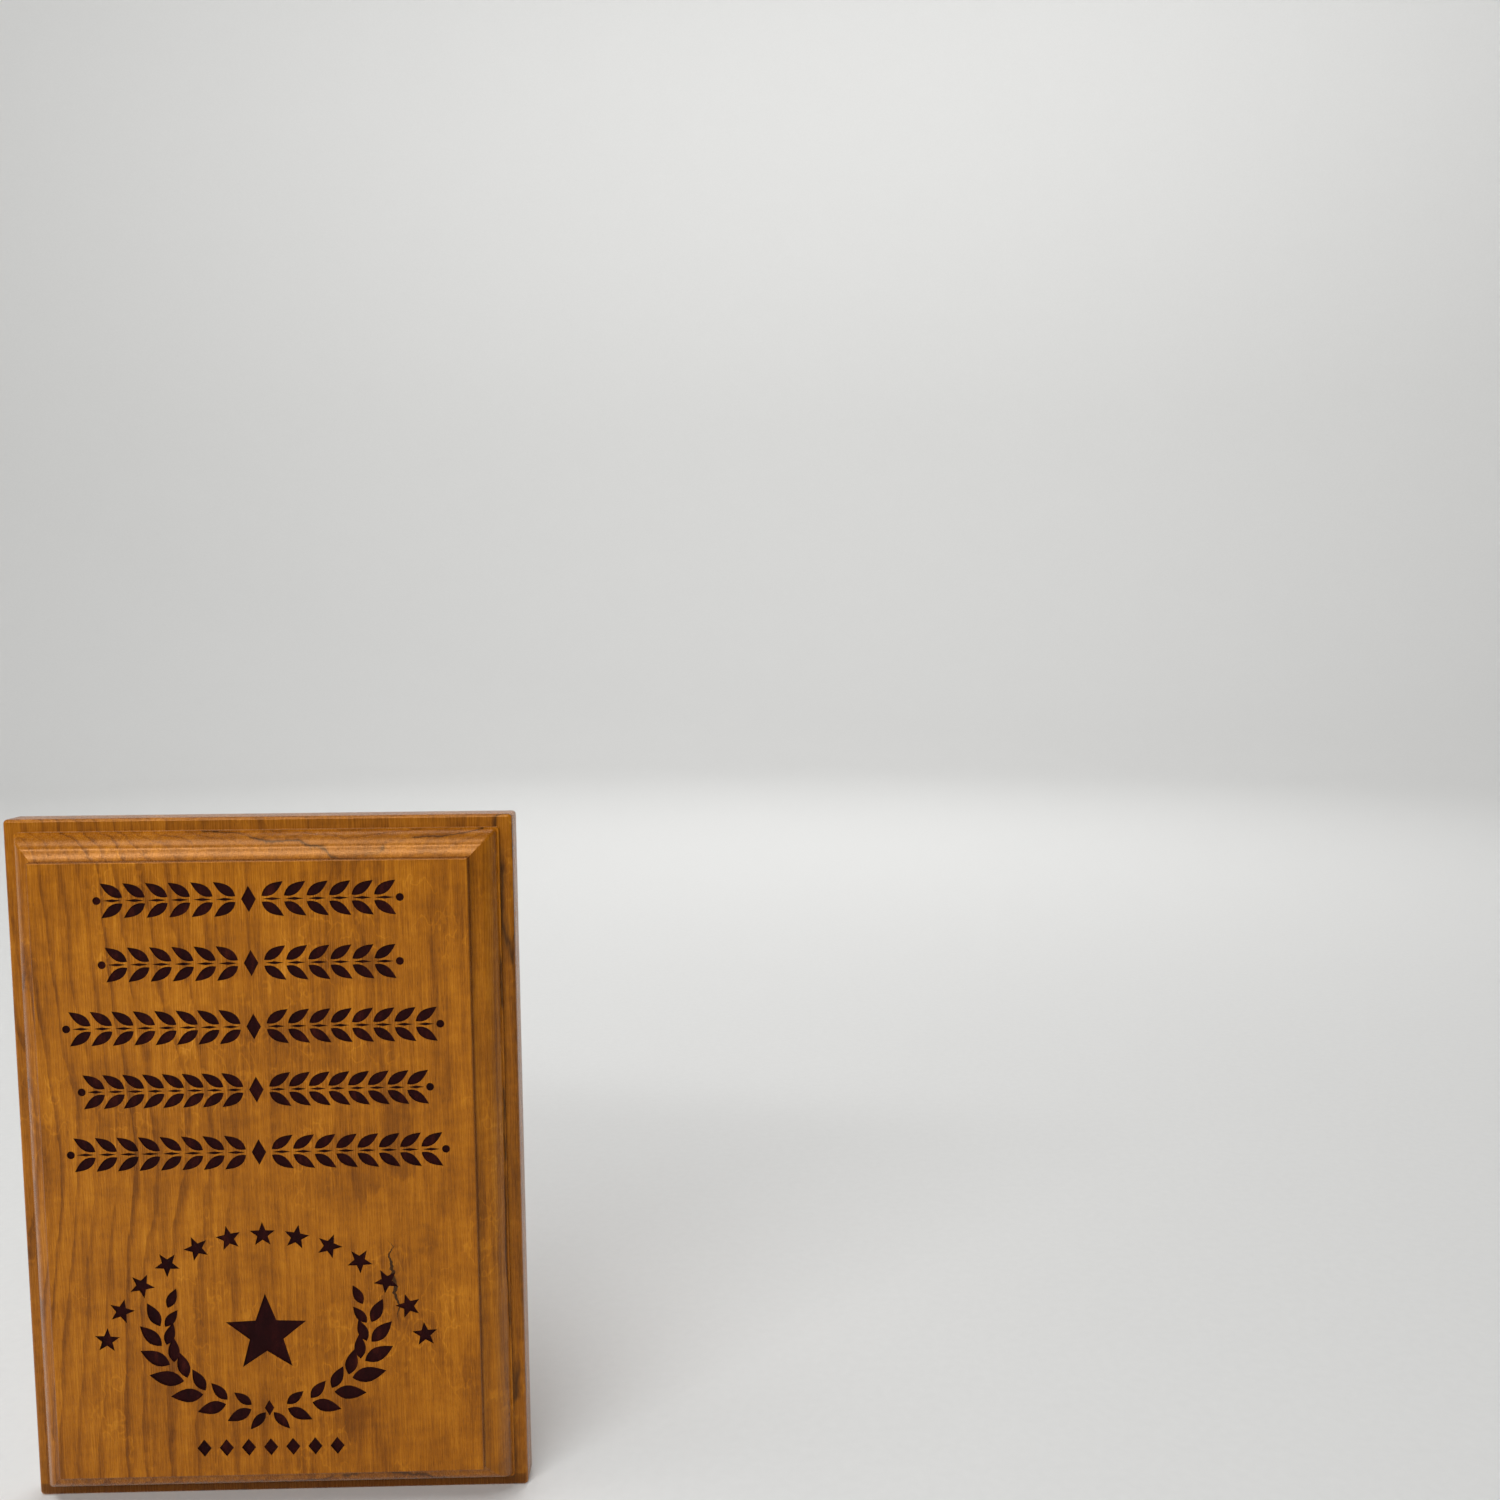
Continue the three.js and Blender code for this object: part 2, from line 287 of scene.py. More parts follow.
# %% [markdown]
# ## Cherry
# A board shows growth rings because the saw cuts a slice out of nested tubes. So the finish first works
# out how far each point is from the heart of the tree, and that distance, bent by slow noise, becomes the
# rings on the face, the arcs on the end grain and the straight lines on the sides, all at once.
# A flat stripe pattern would be simpler, but its stripes would not meet at the edges of the board.

# %% Rings of the tree
RING_WIDTH = 2.5
GUM_RADIUS = 112.6
KNOT_X, KNOT_Z = 32.5, -89.0


def separate(wood, vector):
    node = wood.add("ShaderNodeSeparateXYZ", vector)
    return node.outputs[0], node.outputs[1], node.outputs[2]


def distance_from_heart(wood, place, heart, sway, seed):
    """How far a point is from the tree's heart in mm, with the wander of a living tree."""
    across, depth, height = separate(wood, place)
    lean = wood.math("MULTIPLY", wood.bell(height, -50.0, 40.0), sway)
    leaning = wood.math("SUBTRACT", across, lean)
    side = wood.math("POWER", wood.math("SUBTRACT", leaning, heart[0]), 2.0)
    back = wood.math("POWER", wood.math("SUBTRACT", depth, heart[1]), 2.0)
    straight = wood.math("SQRT", wood.math("ADD", side, back))
    wander = wood.swing(wood.noise(wood.stretch(place, (17.0, 17.0, 80.0), seed), 2.0), 5.0)
    ripple = wood.swing(wood.noise(wood.stretch(place, (4.0, 4.0, 20.0), seed + 3.0), 3.0, 0.6), 1.8)
    round_knot = wood.math("MULTIPLY", wood.bell(across, KNOT_X, 13.0), wood.bell(height, KNOT_Z, 20.0))
    return wood.total(straight, wander, ripple, wood.math("MULTIPLY", round_knot, 3.2))


print("ring width:", RING_WIDTH, "mm, knot at", (KNOT_X, KNOT_Z))

# %% [markdown]
# A small healed knot lies near the right edge of the face. The rings bulge round it, a thin dark check
# runs through it along the grain, and the wood close by is a shade darker.

# %% Knot and check
def knot_marks(wood, place):
    """How dark the check and the wood round the knot are, from 0 to 1 each."""
    across, depth, height = separate(wood, place)
    wiggle = wood.swing(wood.noise(wood.stretch(place, (40.0, 40.0, 3.2), 21.0), 3.0, 0.6), 4.0)
    slope = wood.math("MULTIPLY", wood.math("SUBTRACT", height, KNOT_Z), -0.10)
    off_line = wood.math("ABSOLUTE", wood.math("SUBTRACT", wood.math("SUBTRACT", across, KNOT_X),
                                               wood.total(wiggle, slope)))
    width = wood.math("MULTIPLY", wood.bell(height, KNOT_Z, 8.5), 0.62)
    near_front = wood.math("SUBTRACT", 1.0, wood.band(depth, -14.0, -11.0))
    inside = wood.math("LESS_THAN", off_line, wood.math("SUBTRACT", width, 0.12))
    check = wood.math("MULTIPLY", inside, near_front)
    halo = wood.math("MULTIPLY", wood.bell(across, KNOT_X, 2.6), wood.bell(height, KNOT_Z, 8.0))
    return check, wood.math("MULTIPLY", halo, near_front)


# %% [markdown]
# The ledge and the quirk of the moulding get painted shade, a little darker than the face. That follows how
# far a point lies in from the outer edge, so this distance is worked out once. Where the cut crosses the
# grain, the open fibre ends drink the finish and turn darker: how much a surface faces up or down says how
# much end grain it shows.

# %% Distance in from the outer edge, and end grain
QUIRK_INSET = 9.72


def distance_from_edge(wood, place):
    across, _, height = separate(wood, place)
    from_side = wood.math("SUBTRACT", RIGHT, wood.math("ABSOLUTE", across))
    from_top = wood.math("SUBTRACT", TOP, height)
    from_bottom = wood.math("SUBTRACT", height, BOTTOM)
    return wood.math("MINIMUM", from_side, wood.math("MINIMUM", from_top, from_bottom))


def end_grain(wood):
    _, _, upwards = separate(wood, wood.add("ShaderNodeTexCoord").outputs["Normal"])
    return wood.band(wood.math("ABSOLUTE", upwards), 0.25, 0.85)


print("the quirk lies", QUIRK_INSET, "mm in from the edge")

# %% [markdown]
# One tone, from dark to pale, gathers everything that makes the figure: late wood at the end of each year,
# streaks along the grain, fine fibre, slow clouds, cross curl, pale hairline flecks and dark pores. A ramp
# turns the tone into colour. Gum lines and the knot are tinted over it, and so is painted shade: darker on
# the ledge and in the quirk, and most on the bottom ledge and the lower moulding. The lacquer is amber, and
# so are its reflections.
# Painting each stave would be quicker for one side, but this recipe fills the whole solid.

# %% The cherry finish
AMBER = (1.0, 0.54, 0.24, 1.0)


def cherry(name, heart, sway, seed, tone_shift=0.0, line_strength=0.27, gum_reach=0.50):
    wood = Finish(name)
    place = wood.place_in_mm()
    _, depth, height = separate(wood, place)
    radius = distance_from_heart(wood, place, heart, sway, seed)
    ring = wood.math("DIVIDE", radius, RING_WIDTH)
    phase = wood.math("FRACT", ring)
    whole_rings = wood.math("FLOOR", ring)
    year = wood.add("ShaderNodeTexWhiteNoise", None, whole_rings, noise_dimensions="1D").outputs[0]

    growing = wood.band(phase, 0.62, 0.92)
    stopping = wood.math("SUBTRACT", 1.0, wood.band(phase, 0.94, 1.0))
    late = wood.math("MULTIPLY", wood.math("MULTIPLY", growing, stopping), wood.total(0.4, year))
    streak = wood.noise(wood.stretch(place, (1.3, 1.3, 42.0), seed), 3.0, 0.6)
    fibre = wood.noise(wood.stretch(place, (0.30, 0.30, 9.0), seed), 3.0, 0.65)
    cloud = wood.noise(wood.stretch(place, (11.0, 11.0, 20.0), seed + 9.0), 4.0, 0.6)
    curl = wood.noise(wood.stretch(place, (5.0, 5.0, 2.2), seed + 14.0), 3.0, 0.6)
    pore = wood.band(wood.noise(wood.stretch(place, (0.16, 0.16, 1.8), seed + 6.0), 1.0), 0.60, 0.72)

    folds = wood.noise(wood.stretch(place, (4.2, 4.2, 7.0), seed + 31.0), 2.0)
    ridge = wood.math("ABSOLUTE", wood.swing(folds, 1.0))
    hairline = wood.math("SUBTRACT", 1.0, wood.band(ridge, 0.004, 0.030))
    figured = wood.band(wood.noise(wood.stretch(place, (20.0, 20.0, 26.0), seed + 37.0), 2.0), 0.50, 0.60)
    fleck = wood.math("MULTIPLY", hairline, figured)

    tone = wood.total(
        0.555 + tone_shift,
        wood.math("MULTIPLY", late, -line_strength),
        wood.swing(year, 0.05),
        wood.swing(streak, 0.62),
        wood.swing(fibre, 0.50),
        wood.swing(cloud, 0.58),
        wood.swing(curl, 0.34),
        wood.math("MULTIPLY", fleck, 0.16),
        wood.math("MULTIPLY", pore, -0.13),
    )
    colour = wood.ramp(tone, [
        (0.0, (0.085, 0.019, 0.0006)),
        (0.35, (0.220, 0.064, 0.0015)),
        (0.56, (0.350, 0.110, 0.0020)),
        (0.78, (0.480, 0.168, 0.0060)),
        (1.0, (0.620, 0.255, 0.0260)),
    ])

    gum_near = wood.bell(radius, GUM_RADIUS, 0.22)
    gum_patch = wood.noise(wood.stretch(place, (14.0, 30.0, 26.0), seed + 5.0), 3.0, 0.7)
    gum_patch = wood.band(gum_patch, gum_reach, gum_reach + 0.12)
    gum = wood.math("MULTIPLY", wood.math("MULTIPLY", gum_near, gum_patch), 0.95)
    colour = wood.tint(colour, (0.030, 0.009, 0.003), gum)
    check, halo = knot_marks(wood, place)
    colour = wood.tint(colour, (0.150, 0.042, 0.003), wood.math("MULTIPLY", halo, 0.45))
    colour = wood.tint(colour, (0.016, 0.005, 0.002), check)

    inset = distance_from_edge(wood, place)
    # Painted shade: darker on the ledge and in the quirk, and most on the bottom ledge and the lower
    # moulding.
    in_front = wood.math("SUBTRACT", 1.0, wood.band(depth, -LEDGE_FORWARD, -LEDGE_FORWARD + 0.3))
    on_ledge = wood.math("SUBTRACT", 1.0, wood.band(inset, LEDGE_WIDTH, LEDGE_WIDTH + 0.5))
    ledge = wood.math("MULTIPLY", in_front, on_ledge)
    quirk = wood.math("MULTIPLY", wood.bell(inset, QUIRK_INSET, 0.22), in_front)
    near_bottom_edge = wood.math("SUBTRACT", 1.0, wood.band(height, BOTTOM + 2.9, BOTTOM + 3.6))
    bottom_ledge_shade = wood.math("MULTIPLY", ledge, near_bottom_edge)
    lower_moulding_band = wood.math("SUBTRACT", 1.0, wood.band(height, BOTTOM + 9.0, BOTTOM + 10.5))
    painted_shade = wood.total(
        wood.math("MULTIPLY", ledge, 0.22),
        wood.math("MULTIPLY", quirk, 0.55),
        wood.math("MULTIPLY", bottom_ledge_shade, 0.45),
        wood.math("MULTIPLY", wood.math("MULTIPLY", lower_moulding_band, in_front), 0.22),
    )
    # The painted shade is tinted into the colour here.
    colour = wood.tint(colour, (0.090, 0.024, 0.0015), wood.math("MINIMUM", painted_shade, 1.0))
    thirsty = wood.math("MULTIPLY", end_grain(wood), wood.total(0.14, wood.swing(fibre, 0.7)))
    colour = wood.tint(colour, (0.110, 0.032, 0.003), wood.math("MAXIMUM", thirsty, 0.0))

    grain_height = wood.total(wood.math("MULTIPLY", fibre, 0.6), wood.math("MULTIPLY", late, -0.3),
                              wood.math("MULTIPLY", pore, -0.4), wood.math("MULTIPLY", check, -2.0))
    normal = wood.bump(grain_height, 0.06, 0.55)
    roughness = wood.total(0.20, wood.math("MULTIPLY", fibre, 0.14), wood.math("MULTIPLY", check, 0.3))
    return wood.finish(colour, roughness, normal, Specular_IOR_Level=0.75, Specular_Tint=AMBER)


CHERRY_LEFT = cherry("cherry_left", heart=(24.0, 96.0), sway=7.0, seed=4.0, tone_shift=0.03)
CHERRY_RIGHT = cherry("cherry_right", heart=(24.5, 99.0), sway=3.0, seed=11.0, line_strength=0.16,
                      gum_reach=0.36)
print("cherry finishes:", CHERRY_LEFT.name, CHERRY_RIGHT.name)

# %% [markdown]
# ## Burnt wood
# The engraving is burnt in by a beam that scans the face line by line. The floor of each cut is charred
# almost black, with a red-brown glow where less wood was burnt away, and it has no gloss at all.

# %% Burnt finish
def burnt():
    char = Finish("burnt_cherry")
    place = char.place_in_mm()
    patch = char.noise(char.stretch(place, (2.6, 2.6, 9.0), 2.0), 4.0, 0.65)
    grit = char.noise(char.stretch(place, (0.16, 0.16, 0.5), 6.0), 2.0)
    tone = char.total(patch, char.swing(grit, 0.3))
    colour = char.ramp(tone, [
        (0.25, (0.0100, 0.0015, 0.0020)),
        (0.55, (0.0210, 0.0026, 0.0028)),
        (0.85, (0.0650, 0.0110, 0.0060)),
    ])
    return char.finish(colour, 0.75, char.bump(grit, 0.05, 0.6), Specular_IOR_Level=0.08)


BURNT = burnt()

# %% [markdown]
# Inside the pockets the wood is as the cutter left it: dry, pinker and pale, with no lacquer.

# %% Raw sawn cherry
def raw_cherry():
    raw = Finish("raw_cherry")
    place = raw.place_in_mm()
    fibre = raw.noise(raw.stretch(place, (0.3, 0.3, 6.0), 8.0), 3.0, 0.6)
    scorch = raw.noise(raw.stretch(place, (4.0, 4.0, 4.0), 1.0), 2.0)
    tone = raw.total(fibre, raw.swing(scorch, 0.4))
    colour = raw.ramp(tone, [(0.2, (0.20, 0.085, 0.030)), (0.8, (0.42, 0.22, 0.10))])
    return raw.finish(colour, 0.8, raw.bump(fibre, 0.08, 0.7), Specular_IOR_Level=0.2)


RAW_CHERRY = raw_cherry()
print("engraving finish:", BURNT.name, "| pocket finish:", RAW_CHERRY.name)

# %% [markdown]
# ## The routed panel
# The moulding is one section carried round four sides. It could be swept along a path, but a plaque is
# easier to think of as a stack of outlines: each is a rectangle at some distance in from the edge and some
# height above the back. The first outline is a grid cell with its corners rounded by a vertex bevel. Each
# next one is extruded from it, and its points slide to the new inset and the new corner radius.

# %% Section of the moulding
def arc(centre, radius, start, end, steps):
    """Points on an arc, as (inset, forward); angles in degrees from the inward direction."""
    turn = [math.radians(start + (end - start) * i / steps) for i in range(steps + 1)]
    return [(centre[0] + radius * math.cos(a), centre[1] + radius * math.sin(a)) for a in turn]


def curve(points, steps):
    """A Bezier curve through its first and last points, as (inset, rise above the ledge)."""
    result = []
    for i in range(steps + 1):
        level = [Vector(p) for p in points]
        while len(level) > 1:
            level = [a.lerp(b, i / steps) for a, b in zip(level, level[1:])]
        result.append(tuple(level[0]))
    return result


def moulding_section():
    """(inset, forward, corner radius) of every outline from the back to the face."""
    fillet_rise, soft = 1.1, 0.12
    rows = [(1.2, 0.0, 0.6), (0.7, 0.0, 0.8)]
    rows += [(u, f, 1.0) for u, f in arc((0.55, 0.55), 0.55, 270, 180, 4)]
    rows += [(u, f, 1.0) for u, f in arc((0.9, LEDGE_FORWARD - 0.9), 0.9, 180, 90, 6)]
    rows += [(1.1, LEDGE_FORWARD, 1.0), (LEDGE_WIDTH - 2 * soft, LEDGE_FORWARD, 1.0)]
    rows += [(u, f, 1.0) for u, f in arc((LEDGE_WIDTH - soft, LEDGE_FORWARD + soft), soft, 270, 360, 3)]
    fillet_top = LEDGE_FORWARD + fillet_rise
    rows += [(u, f, 1.0) for u, f in arc((LEDGE_WIDTH + soft, fillet_top - soft), soft, 180, 90, 3)]
    bead = curve([(3.55, 1.1), (4.1, 2.9), (5.6, 5.05), (7.0, 5.55)], 12)
    rows += [(u, LEDGE_FORWARD + f, 1.0 - 0.7 * i / 12) for i, (u, f) in enumerate(bead)]
    cove = curve([(7.0, 5.55), (8.6, 5.98), (9.75 - soft, 6.75 - soft)], 8)
    rows += [(u, LEDGE_FORWARD + f, 0.3 - 0.15 * i / 8) for i, (u, f) in enumerate(cove)][1:]
    rows += [(9.75, LEDGE_FORWARD + 6.75 + soft, 0.15), (9.75, THICKNESS - 0.4, 0.15)]
    rows += [(u, f, 0.15) for u, f in arc((FACE_INSET, THICKNESS - 0.35), 0.35, 180, 90, 4)]
    rows += [(FACE_INSET + 0.25, THICKNESS, 0.15)]
    return rows


section = moulding_section()
print("outlines in the stack:", len(section))

# %% First outline, and the stack raised from it
def first_outline(bm, inset, forward, corner):
    made = bmesh.ops.create_grid(bm, x_segments=1, y_segments=1, size=0.5)["verts"]
    width, height = RIGHT - LEFT - 2 * inset, TOP - BOTTOM - 2 * inset
    bmesh.ops.scale(bm, vec=(width * MM, height * MM, 1.0), verts=made)
    bmesh.ops.rotate(bm, cent=(0, 0, 0), matrix=Matrix.Rotation(math.pi / 2, 3, "X"), verts=made)
    bmesh.ops.translate(bm, vec=(0.0, -forward * MM, MIDDLE_Z * MM), verts=made)
    bmesh.ops.bevel(bm, geom=made, affect="VERTICES", offset=corner * MM, offset_type="OFFSET",
                    segments=6, profile=0.5, material=-1)
    return bm.faces[:][0]


def corner_centre(point, inset, forward, corner):
    """The middle of the round corner that a point of an outline belongs to."""
    x = math.copysign(RIGHT - inset - corner, point.x) * MM
    z = (MIDDLE_Z + math.copysign((TOP - BOTTOM) / 2 - inset - corner, point.z - MIDDLE_Z * MM)) * MM
    return Vector((x, -forward * MM, z))


def raise_outline(bm, face, low, high):
    """Extrudes the top face and slides its outline from one row of the section to the next."""
    grown = bmesh.ops.extrude_face_region(bm, geom=[face])["geom"]
    for v in [g for g in grown if isinstance(g, bmesh.types.BMVert)]:
        spoke = (v.co - corner_centre(v.co, *low)) / low[2]
        v.co = corner_centre(v.co, *high) + spoke * high[2]
    return next(g for g in grown if isinstance(g, bmesh.types.BMFace))


def stacked_panel():
    bm = bmesh.new()
    lids = [first_outline(bm, *section[0])]
    for low, high in zip(section, section[1:]):
        lids.append(raise_outline(bm, lids[-1], low, high))
    bmesh.ops.delete(bm, geom=lids[1:-1], context="FACES_ONLY")
    bmesh.ops.recalc_face_normals(bm, faces=bm.faces)
    return bm


panel = stacked_panel()
print("panel volume:", round(panel.calc_volume() / MM**3 / 1000, 1), "cubic cm, open edges:",
      sum(not e.is_manifold for e in panel.edges))

# %% [markdown]
# ## Two staves
# The board is glued from a narrow stave on the left and a wide one on the right. Slicing the same panel
# at the glue line keeps the moulding running straight across it, as it does when a glued board is routed.

# %% Slice at the glue line
def stave(name, keep, finish):
    bm = panel.copy()
    cut = bmesh.ops.bisect_plane(bm, geom=bm.verts[:] + bm.edges[:] + bm.faces[:], dist=1e-7,
                                 plane_co=(JOINT_X * MM, 0, 0), plane_no=(keep, 0, 0),
                                 clear_inner=True)
    rim = [g for g in cut["geom_cut"] if isinstance(g, bmesh.types.BMEdge)]
    bmesh.ops.contextual_create(bm, geom=rim)
    bmesh.ops.recalc_face_normals(bm, faces=bm.faces)
    print(name, "volume", round(bm.calc_volume() / MM**3 / 1000, 1), "cubic cm, open edges",
          sum(not e.is_manifold for e in bm.edges))
    return as_piece(name, bm, finish)


def as_piece(name, bm, finish):
    mesh = bpy.data.meshes.new(name)
    bm.to_mesh(mesh)
    bm.free()
    mesh.materials.append(finish)
    piece = bpy.data.objects.new(name, mesh)
    bpy.context.scene.collection.objects.link(piece)
    return piece


left_stave = stave("left_stave", -1, CHERRY_LEFT)
right_stave = stave("right_stave", 1, CHERRY_RIGHT)

# %% [markdown]
# ## Cutting with a template
# Pockets and engraving are both made the same way: a shape is drawn flat, pushed through the wood as a
# punch, and taken away with a Boolean. The punch brings its own finish, so the fresh walls and floor of a
# cut look burnt or raw while the lacquered face round them stays as it was.

# %% Cut and keep the result
def cut_away(piece, punches, finish):
    cutter = as_piece("punch", punches, finish)
    step = piece.modifiers.new("cut", "BOOLEAN")
    step.operation = "DIFFERENCE"
    step.solver = "EXACT"
    step.use_self = True
    step.material_mode = "TRANSFER"
    step.object = cutter
    settled = piece.evaluated_get(bpy.context.evaluated_depsgraph_get())
    mesh = bpy.data.meshes.new_from_object(settled)
    piece.modifiers.clear()
    piece.data = mesh
    bpy.data.objects.remove(cutter)
    print(piece.name, "now has", len(mesh.polygons), "faces and", len(mesh.materials), "finishes")


def push_through(bm, face, depth):
    """Turns a flat shape facing the viewer into a prism that ends at that depth behind it."""
    grown = bmesh.ops.extrude_face_region(bm, geom=[face])["geom"]
    far_end = [g for g in grown if isinstance(g, bmesh.types.BMVert)]
    bmesh.ops.translate(bm, vec=(0, depth * MM, 0), verts=far_end)


# %% [markdown]
# ## The engraving
# The face carries five rows of small laurel garlands, an arch of stars, a laurel wreath round a large star
# and a short row of diamonds. All of it is made from three flat shapes: a leaf, a star and a diamond.
# A leaf is a circle squeezed until both ends are points, a little fuller near its stalk.

# %% Flat shapes for the punches
CUT_FROM = THICKNESS + 1.0
ENGRAVING_DEPTH = 0.35


def flat_disc(bm, segments):
    made = bmesh.ops.create_circle(bm, cap_ends=True, radius=1.0, segments=segments)["verts"]
    return made, made[0].link_faces[0]


def leaf(bm, length, width):
    verts, face = flat_disc(bm, 20)
    for v in verts:
        squeeze = abs(v.co.y) * (1.0 - 0.3 * v.co.x)
        v.co.y *= squeeze
    bmesh.ops.scale(bm, vec=(length / 2, width / 2, 1.0), verts=verts)
    bmesh.ops.translate(bm, vec=(length / 2, 0, 0), verts=verts)
    return verts, face


def star(bm, radius):
    waist = 0.42
    verts, face = flat_disc(bm, 10)
    ordered = sorted(verts, key=lambda v: math.atan2(v.co.y, v.co.x))
    bmesh.ops.scale(bm, vec=(waist, waist, 1.0), verts=ordered[1::2])
    bmesh.ops.scale(bm, vec=(radius, radius, 1.0), verts=verts)
    tip = math.atan2(ordered[0].co.y, ordered[0].co.x)
    bmesh.ops.rotate(bm, cent=(0, 0, 0), matrix=Matrix.Rotation(math.pi / 2 - tip, 3, "Z"), verts=verts)
    return verts, face


def diamond(bm, width, height):
    verts, face = flat_disc(bm, 4)
    bmesh.ops.scale(bm, vec=(width / 2, height / 2, 1.0), verts=verts)
    return verts, face


def ball(bm, radius):
    verts, face = flat_disc(bm, 14)
    bmesh.ops.scale(bm, vec=(radius, radius, 1.0), verts=verts)
    return verts, face


def set_on_face(bm, shape, x, z, turn=0.0):
    """Turns a flat shape by an angle in degrees, sets it upright at its place and makes it a punch."""
    verts, face = shape
    bmesh.ops.rotate(bm, cent=(0, 0, 0), matrix=Matrix.Rotation(math.radians(turn), 3, "Z"), verts=verts)
    bmesh.ops.scale(bm, vec=(MM, MM, MM), verts=verts)
    bmesh.ops.rotate(bm, cent=(0, 0, 0), matrix=Matrix.Rotation(math.pi / 2, 3, "X"), verts=verts)
    bmesh.ops.translate(bm, vec=(x * MM, -CUT_FROM * MM, z * MM), verts=verts)
    push_through(bm, face, CUT_FROM - THICKNESS + ENGRAVING_DEPTH)


print("punch shapes ready")

# %% [markdown]
# The shapes are set out as an engraver would: rows at an even pitch, stars spaced by angle on an arc, and
# leaves that follow an oval, each turned to the way its branch grows.

# %% Garlands, stars, wreath and diamonds
LEAF_LEAN = 34.0


def garland(bm, z, middle, half_width):
    """A level spray of paired leaves running outwards from a diamond, with a ball at each end."""
    set_on_face(bm, diamond(bm, 3.6, 6.6), middle, z)
    pairs = round((half_width - 5.0) / 5.1)
    pitch = (half_width - 5.0) / pairs
    for side in (-1, 1):
        for i in range(pairs):
            start = middle + side * (3.2 + i * pitch)
            for up in (-1, 1):
                turn = up * LEAF_LEAN if side > 0 else 180.0 - up * LEAF_LEAN
                set_on_face(bm, leaf(bm, 6.4, 2.5), start, z + up * 0.75, turn)
        for i in range(pairs):
            set_on_face(bm, diamond(bm, pitch - 0.9, 0.75), middle + side * (3.0 + (i + 0.5) * pitch), z)
        set_on_face(bm, ball(bm, 1.0), middle + side * (half_width - 1.0), z)


def arch_of_stars(bm, centre_z, radius, reach, count):
    for i in range(count):
        angle = -reach + 2 * reach * i / (count - 1)
        x = radius * math.sin(math.radians(angle))
        z = centre_z + radius * math.cos(math.radians(angle))
        set_on_face(bm, star(bm, 3.3), x, z, -angle)


def laurel_branch(bm, x, z, half_width, half_height, side):
    """One branch that rises from the bottom middle on part of an oval, with leaves on both flanks."""
    pairs = 7
    for i in range(pairs + 1):
        angle = math.radians(-80.0 + 100.0 * i / pairs)
        px = x + side * half_width * math.cos(angle)
        pz = z + half_height * math.sin(angle)
        along = math.degrees(math.atan2(half_height * math.cos(angle), -half_width * math.sin(angle)))
        size = 1.0 - 0.30 * abs(i - 3.0) / 4.0
        flanks = ((-1, 1.0), (1, 0.80)) if i < pairs else ((0, 0.9),)
        for flank, share in flanks:
            out = math.radians(along + 90.0 * flank)
            heading = along + (LEAF_LEAN if flank < 0 else LEAF_LEAN - 4.0) * flank
            turn = heading if side > 0 else 180.0 - heading
            stalk = 0.6 * abs(flank)
            set_on_face(bm, leaf(bm, 8.8 * size * share, 3.9 * size * share),
                        px + side * stalk * math.cos(out), pz + stalk * math.sin(out), turn)


def wreath(bm, x, z, half_width, half_height):
    """Two branches tied at the bottom, open at the top, round a large star."""
    for side in (-1, 1):
        laurel_branch(bm, x, z, half_width, half_height, side)
        set_on_face(bm, leaf(bm, 6.0, 2.4), x + side * 1.0, z - half_height - 1.2, -90.0 + side * 42.0)
    set_on_face(bm, diamond(bm, 2.4, 4.2), x, z - half_height)
    set_on_face(bm, star(bm, 10.6), x, z - 0.5)


engraving = bmesh.new()
FIRST_ROW_Z, ROW_PITCH = 8.8, 16.0
for row, half_width in enumerate((38.0, 37.5, 47.0, 44.0, 47.5)):
    garland(engraving, FIRST_ROW_Z - ROW_PITCH * row, 0.0, half_width)
arch_of_stars(engraving, -119.5, 43.0, 68.0, 13)
wreath(engraving, 0.0, -102.0, 26.0, 20.0)
for place in range(7):
    set_on_face(engraving, diamond(engraving, 3.6, 4.6), (place - 3) * 5.6, -132.4)
bmesh.ops.recalc_face_normals(engraving, faces=engraving.faces)
print("punches:", sum(1 for f in engraving.faces if abs(f.normal.y) > 0.9) // 2)

# %% [markdown]
# The engraving crosses the glue line, so the same punches are taken out of both staves.

# %% Burn the engraving into both staves
cut_away(left_stave, engraving.copy(), BURNT)
cut_away(right_stave, engraving, BURNT)

# %% [markdown]
# ## Pocket for the hanger
# Behind the keyhole plate the wood is hollowed so that the wall screw's head can slide up behind the
# plate. The plate itself sits in a shallow round-ended recess, and two pilot holes take its screws.

# %% Hanger pocket
PLATE_RADIUS = extent("keyhole_plate", "X")[1]
PLATE_LOW, PLATE_HIGH = extent("keyhole_plate", "Z")
PLATE_THICKNESS = -extent("keyhole_plate", "Y")[0]
PLATE_CLEARANCE = 0.3
ENTRY_Z = -9.0
ENTRY_RADIUS = 4.75
SLOT_RADIUS = 2.3
HEAD_POCKET_RADIUS = 5.5
PILOT_RADIUS = 1.6
SCREW_HEAD_RADIUS = extent("plate_screw_upper", "X")[1]
SCREW_LENGTH = -extent("plate_screw_upper", "Y")[0]
SCREW_HEIGHTS = (middle_of("plate_screw_upper", "Z"), middle_of("plate_screw_lower", "Z"))


def upright_slot(bm, radius, low, high, front, back):
    """A round-ended prism standing upright between two heights and two depths before the back plane."""
    verts, face = flat_disc(bm, 50)
    bmesh.ops.scale(bm, vec=(radius, radius, 1.0), verts=verts)
    middle = (low + high) / 2
    straight = (high - low) / 2 - radius
    for v in verts:
        v.co.y += math.copysign(straight, v.co.y)
    bmesh.ops.scale(bm, vec=(MM, MM, MM), verts=verts)
    bmesh.ops.rotate(bm, cent=(0, 0, 0), matrix=Matrix.Rotation(math.pi / 2, 3, "X"), verts=verts)
    bmesh.ops.translate(bm, vec=(0, -front * MM, middle * MM), verts=verts)
    push_through(bm, face, front - back)


